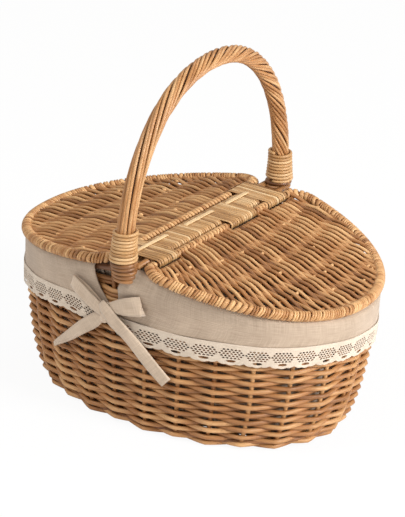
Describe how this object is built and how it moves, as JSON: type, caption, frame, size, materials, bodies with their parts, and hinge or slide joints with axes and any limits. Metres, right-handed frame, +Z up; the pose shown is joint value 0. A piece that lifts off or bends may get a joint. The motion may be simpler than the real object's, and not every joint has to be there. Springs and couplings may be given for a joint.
{
  "type": "picnic basket",
  "caption": "Oval woven willow picnic basket with a tall twisted bow handle, two hinged lids on a crossbar, a cloth liner with lace-trimmed cuffs and tied bows.",
  "frame": {"origin": "centre of the footprint, on the surface that the basket stands on", "axes": "+X along the basket towards the right lid, -Y towards the near handle foot and bow, +Z up"},
  "size_m": [0.4, 0.3184, 0.3779],
  "materials": {
    "wall_willow": "buff willow rods, satin",
    "lid_willow": "buff willow rods, satin",
    "handle_willow": "buff willow rods, satin, polished by hands",
    "binding_cane": "split cane, satin",
    "linen": "plain oatmeal linen",
    "lace": "cream cotton lace"
  },
  "bodies": {
    "root": {"base_ribs": "wall_willow", "base_weave": "wall_willow", "foot_border": "wall_willow", "side_stakes": "wall_willow", "side_weave_lower": "wall_willow", "side_weave_middle": "wall_willow", "side_weave_upper": "wall_willow", "near_short_courses": "wall_willow", "far_short_courses": "wall_willow", "right_rim_border": "wall_willow", "left_rim_border": "wall_willow", "handle_core": "handle_willow", "handle_rods": "handle_willow", "near_handle_foot": "handle_willow", "far_handle_foot": "handle_willow", "near_collar_winding": "binding_cane", "far_collar_winding": "binding_cane", "crossbar_rods": "lid_willow", "crossbar_binding": "binding_cane", "crossbar_listing": "binding_cane", "end_hinge_loops": "binding_cane", "middle_hinge_loop": "binding_cane", "liner": "linen", "right_cuff": "linen", "left_cuff": "linen", "right_lace": "lace", "left_lace": "lace", "near_tie_tails": "linen", "near_tie_loops": "linen", "near_tie_knot": "linen", "far_tie_tails": "linen", "far_tie_loops": "linen", "far_tie_knot": "linen"},
    "right_lid": {"right_lid_hoop": "lid_willow", "right_lid_hinge_stick": "lid_willow", "right_lid_ribs": "lid_willow", "right_lid_weave": "lid_willow"},
    "left_lid": {"left_lid_hoop": "lid_willow", "left_lid_hinge_stick": "lid_willow", "left_lid_ribs": "lid_willow", "left_lid_weave": "lid_willow"}
  },
  "joints": [
    {"name": "right_lid_hinge", "type": "hinge", "parent": "root", "child": "right_lid", "pos_m": [0.0225, 0, 0.18748], "axis": [0, -1, 0], "range_deg": [0, 98]},
    {"name": "left_lid_hinge", "type": "hinge", "parent": "root", "child": "left_lid", "pos_m": [-0.0225, 0, 0.18748], "axis": [0, 1, 0], "range_deg": [0, 98]}
  ]
}
